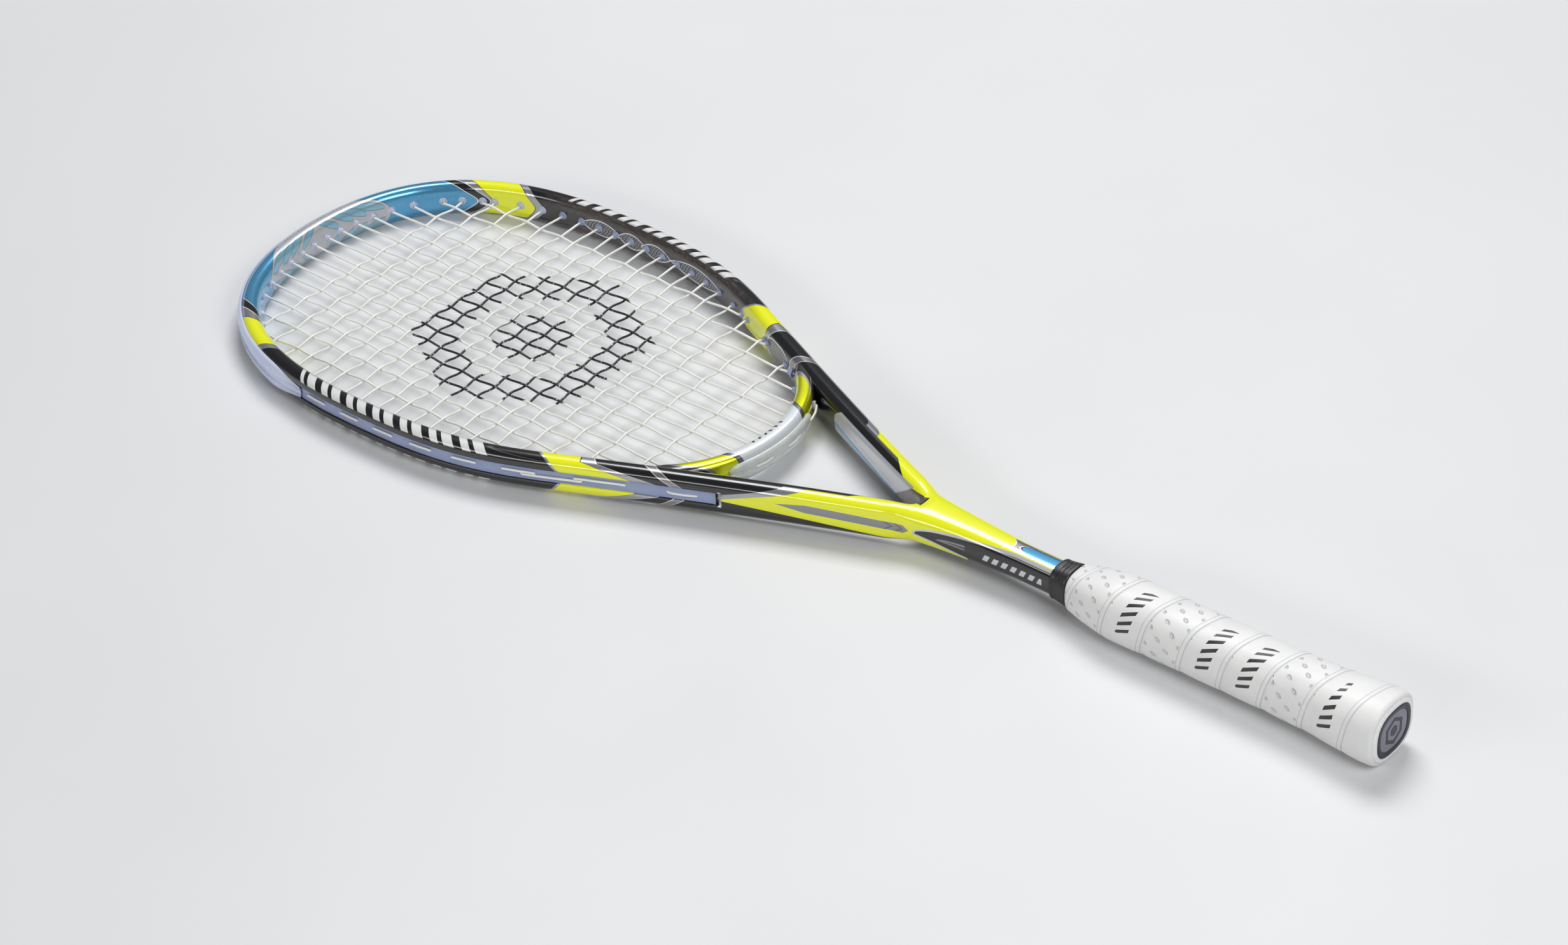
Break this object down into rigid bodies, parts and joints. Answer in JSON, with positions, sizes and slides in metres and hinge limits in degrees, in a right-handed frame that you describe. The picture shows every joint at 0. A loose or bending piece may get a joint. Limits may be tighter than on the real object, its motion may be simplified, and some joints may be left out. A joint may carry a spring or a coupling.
{
  "type": "squash racket",
  "caption": "Open-throat squash racket: painted hollow frame, woven string bed, grommet strips, wrapped handle with a sliding rubber collar.",
  "frame": {"origin": "middle of the butt end face", "axes": "+X along the handle to the head tip, +Z square to the string bed, z = 0 in the string plane"},
  "size_m": [0.686, 0.215, 0.0326],
  "materials": {
    "carbon_paint": "clear-coated carbon with painted bands",
    "bridge_paint": "clear-coated lime and silver paint",
    "bumper_plastic": "translucent pale lavender nylon",
    "strip_plastic": "translucent pale blue nylon",
    "clear_plastic": "milky translucent nylon",
    "string": "off-white multifilament",
    "foam": "rigid foam",
    "cap_rubber": "white moulded cap",
    "staple_steel": "plain",
    "badge_dark": "satin navy",
    "badge_grey": "satin grey",
    "base_grip": "tacky polyurethane",
    "tape": "satin vinyl",
    "overgrip": "soft polyurethane film on felt, embossed",
    "collar_rubber": "satin black"
  },
  "bodies": {
    "racket": {"frame_tube": "carbon_paint", "throat_bridge": "bridge_paint", "bumper_guard": "bumper_plastic", "near_grommet_strip": "strip_plastic", "far_grommet_strip": "strip_plastic", "throat_grommet_strip": "clear_plastic", "main_strings": "string", "cross_strings": "string", "near_handle_pallet": "foam", "far_handle_pallet": "foam", "butt_cap": "cap_rubber", "cap_staples": "staple_steel", "badge_ring": "badge_dark", "badge_plate": "badge_grey", "base_grip": "base_grip", "finishing_tape": "tape", "overgrip": "overgrip"},
    "collar": {"grip_collar": "collar_rubber"}
  },
  "joints": [
    {"name": "collar_slide", "type": "slide", "parent": "racket", "child": "collar", "axis": [1, 0, 0], "range_m": [0, 0.02]}
  ]
}
